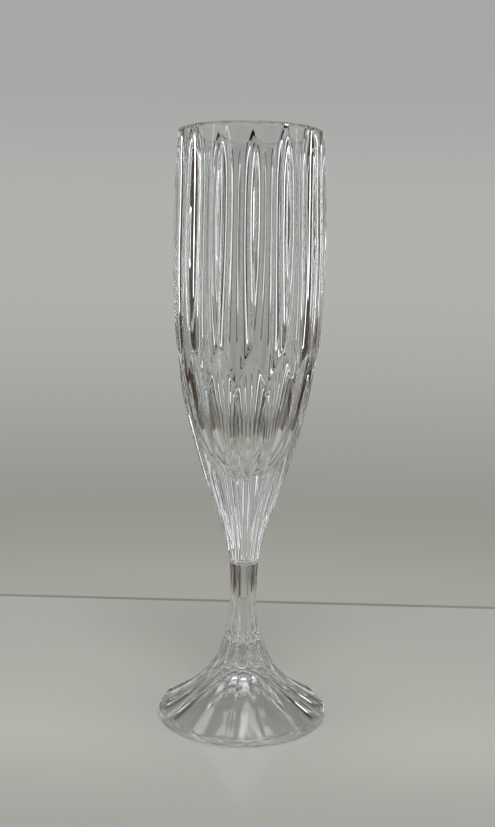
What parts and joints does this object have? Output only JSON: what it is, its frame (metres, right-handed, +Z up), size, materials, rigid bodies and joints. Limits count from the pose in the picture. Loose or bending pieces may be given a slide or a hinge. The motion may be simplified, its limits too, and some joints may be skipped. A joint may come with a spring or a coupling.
{
  "type": "champagne flute",
  "caption": "Tall stemmed champagne flute in clear crystal: tapering bowl with upright cut panels over pointed flutes, short fluted stem and flared petalled foot.",
  "frame": {"origin": "centre of the foot's rest ring, on the surface that the glass stands on", "axes": "+Z up through the stem to the rim; a ridge of the upper panels faces -Y"},
  "size_m": [0.0656, 0.0656, 0.225],
  "materials": {
    "crystal_bowl": "polished",
    "crystal_stem": "polished",
    "crystal_foot": "polished"
  },
  "bodies": {
    "root": {"bowl": "crystal_bowl", "stem": "crystal_stem", "foot": "crystal_foot"}
  },
  "joints": []
}
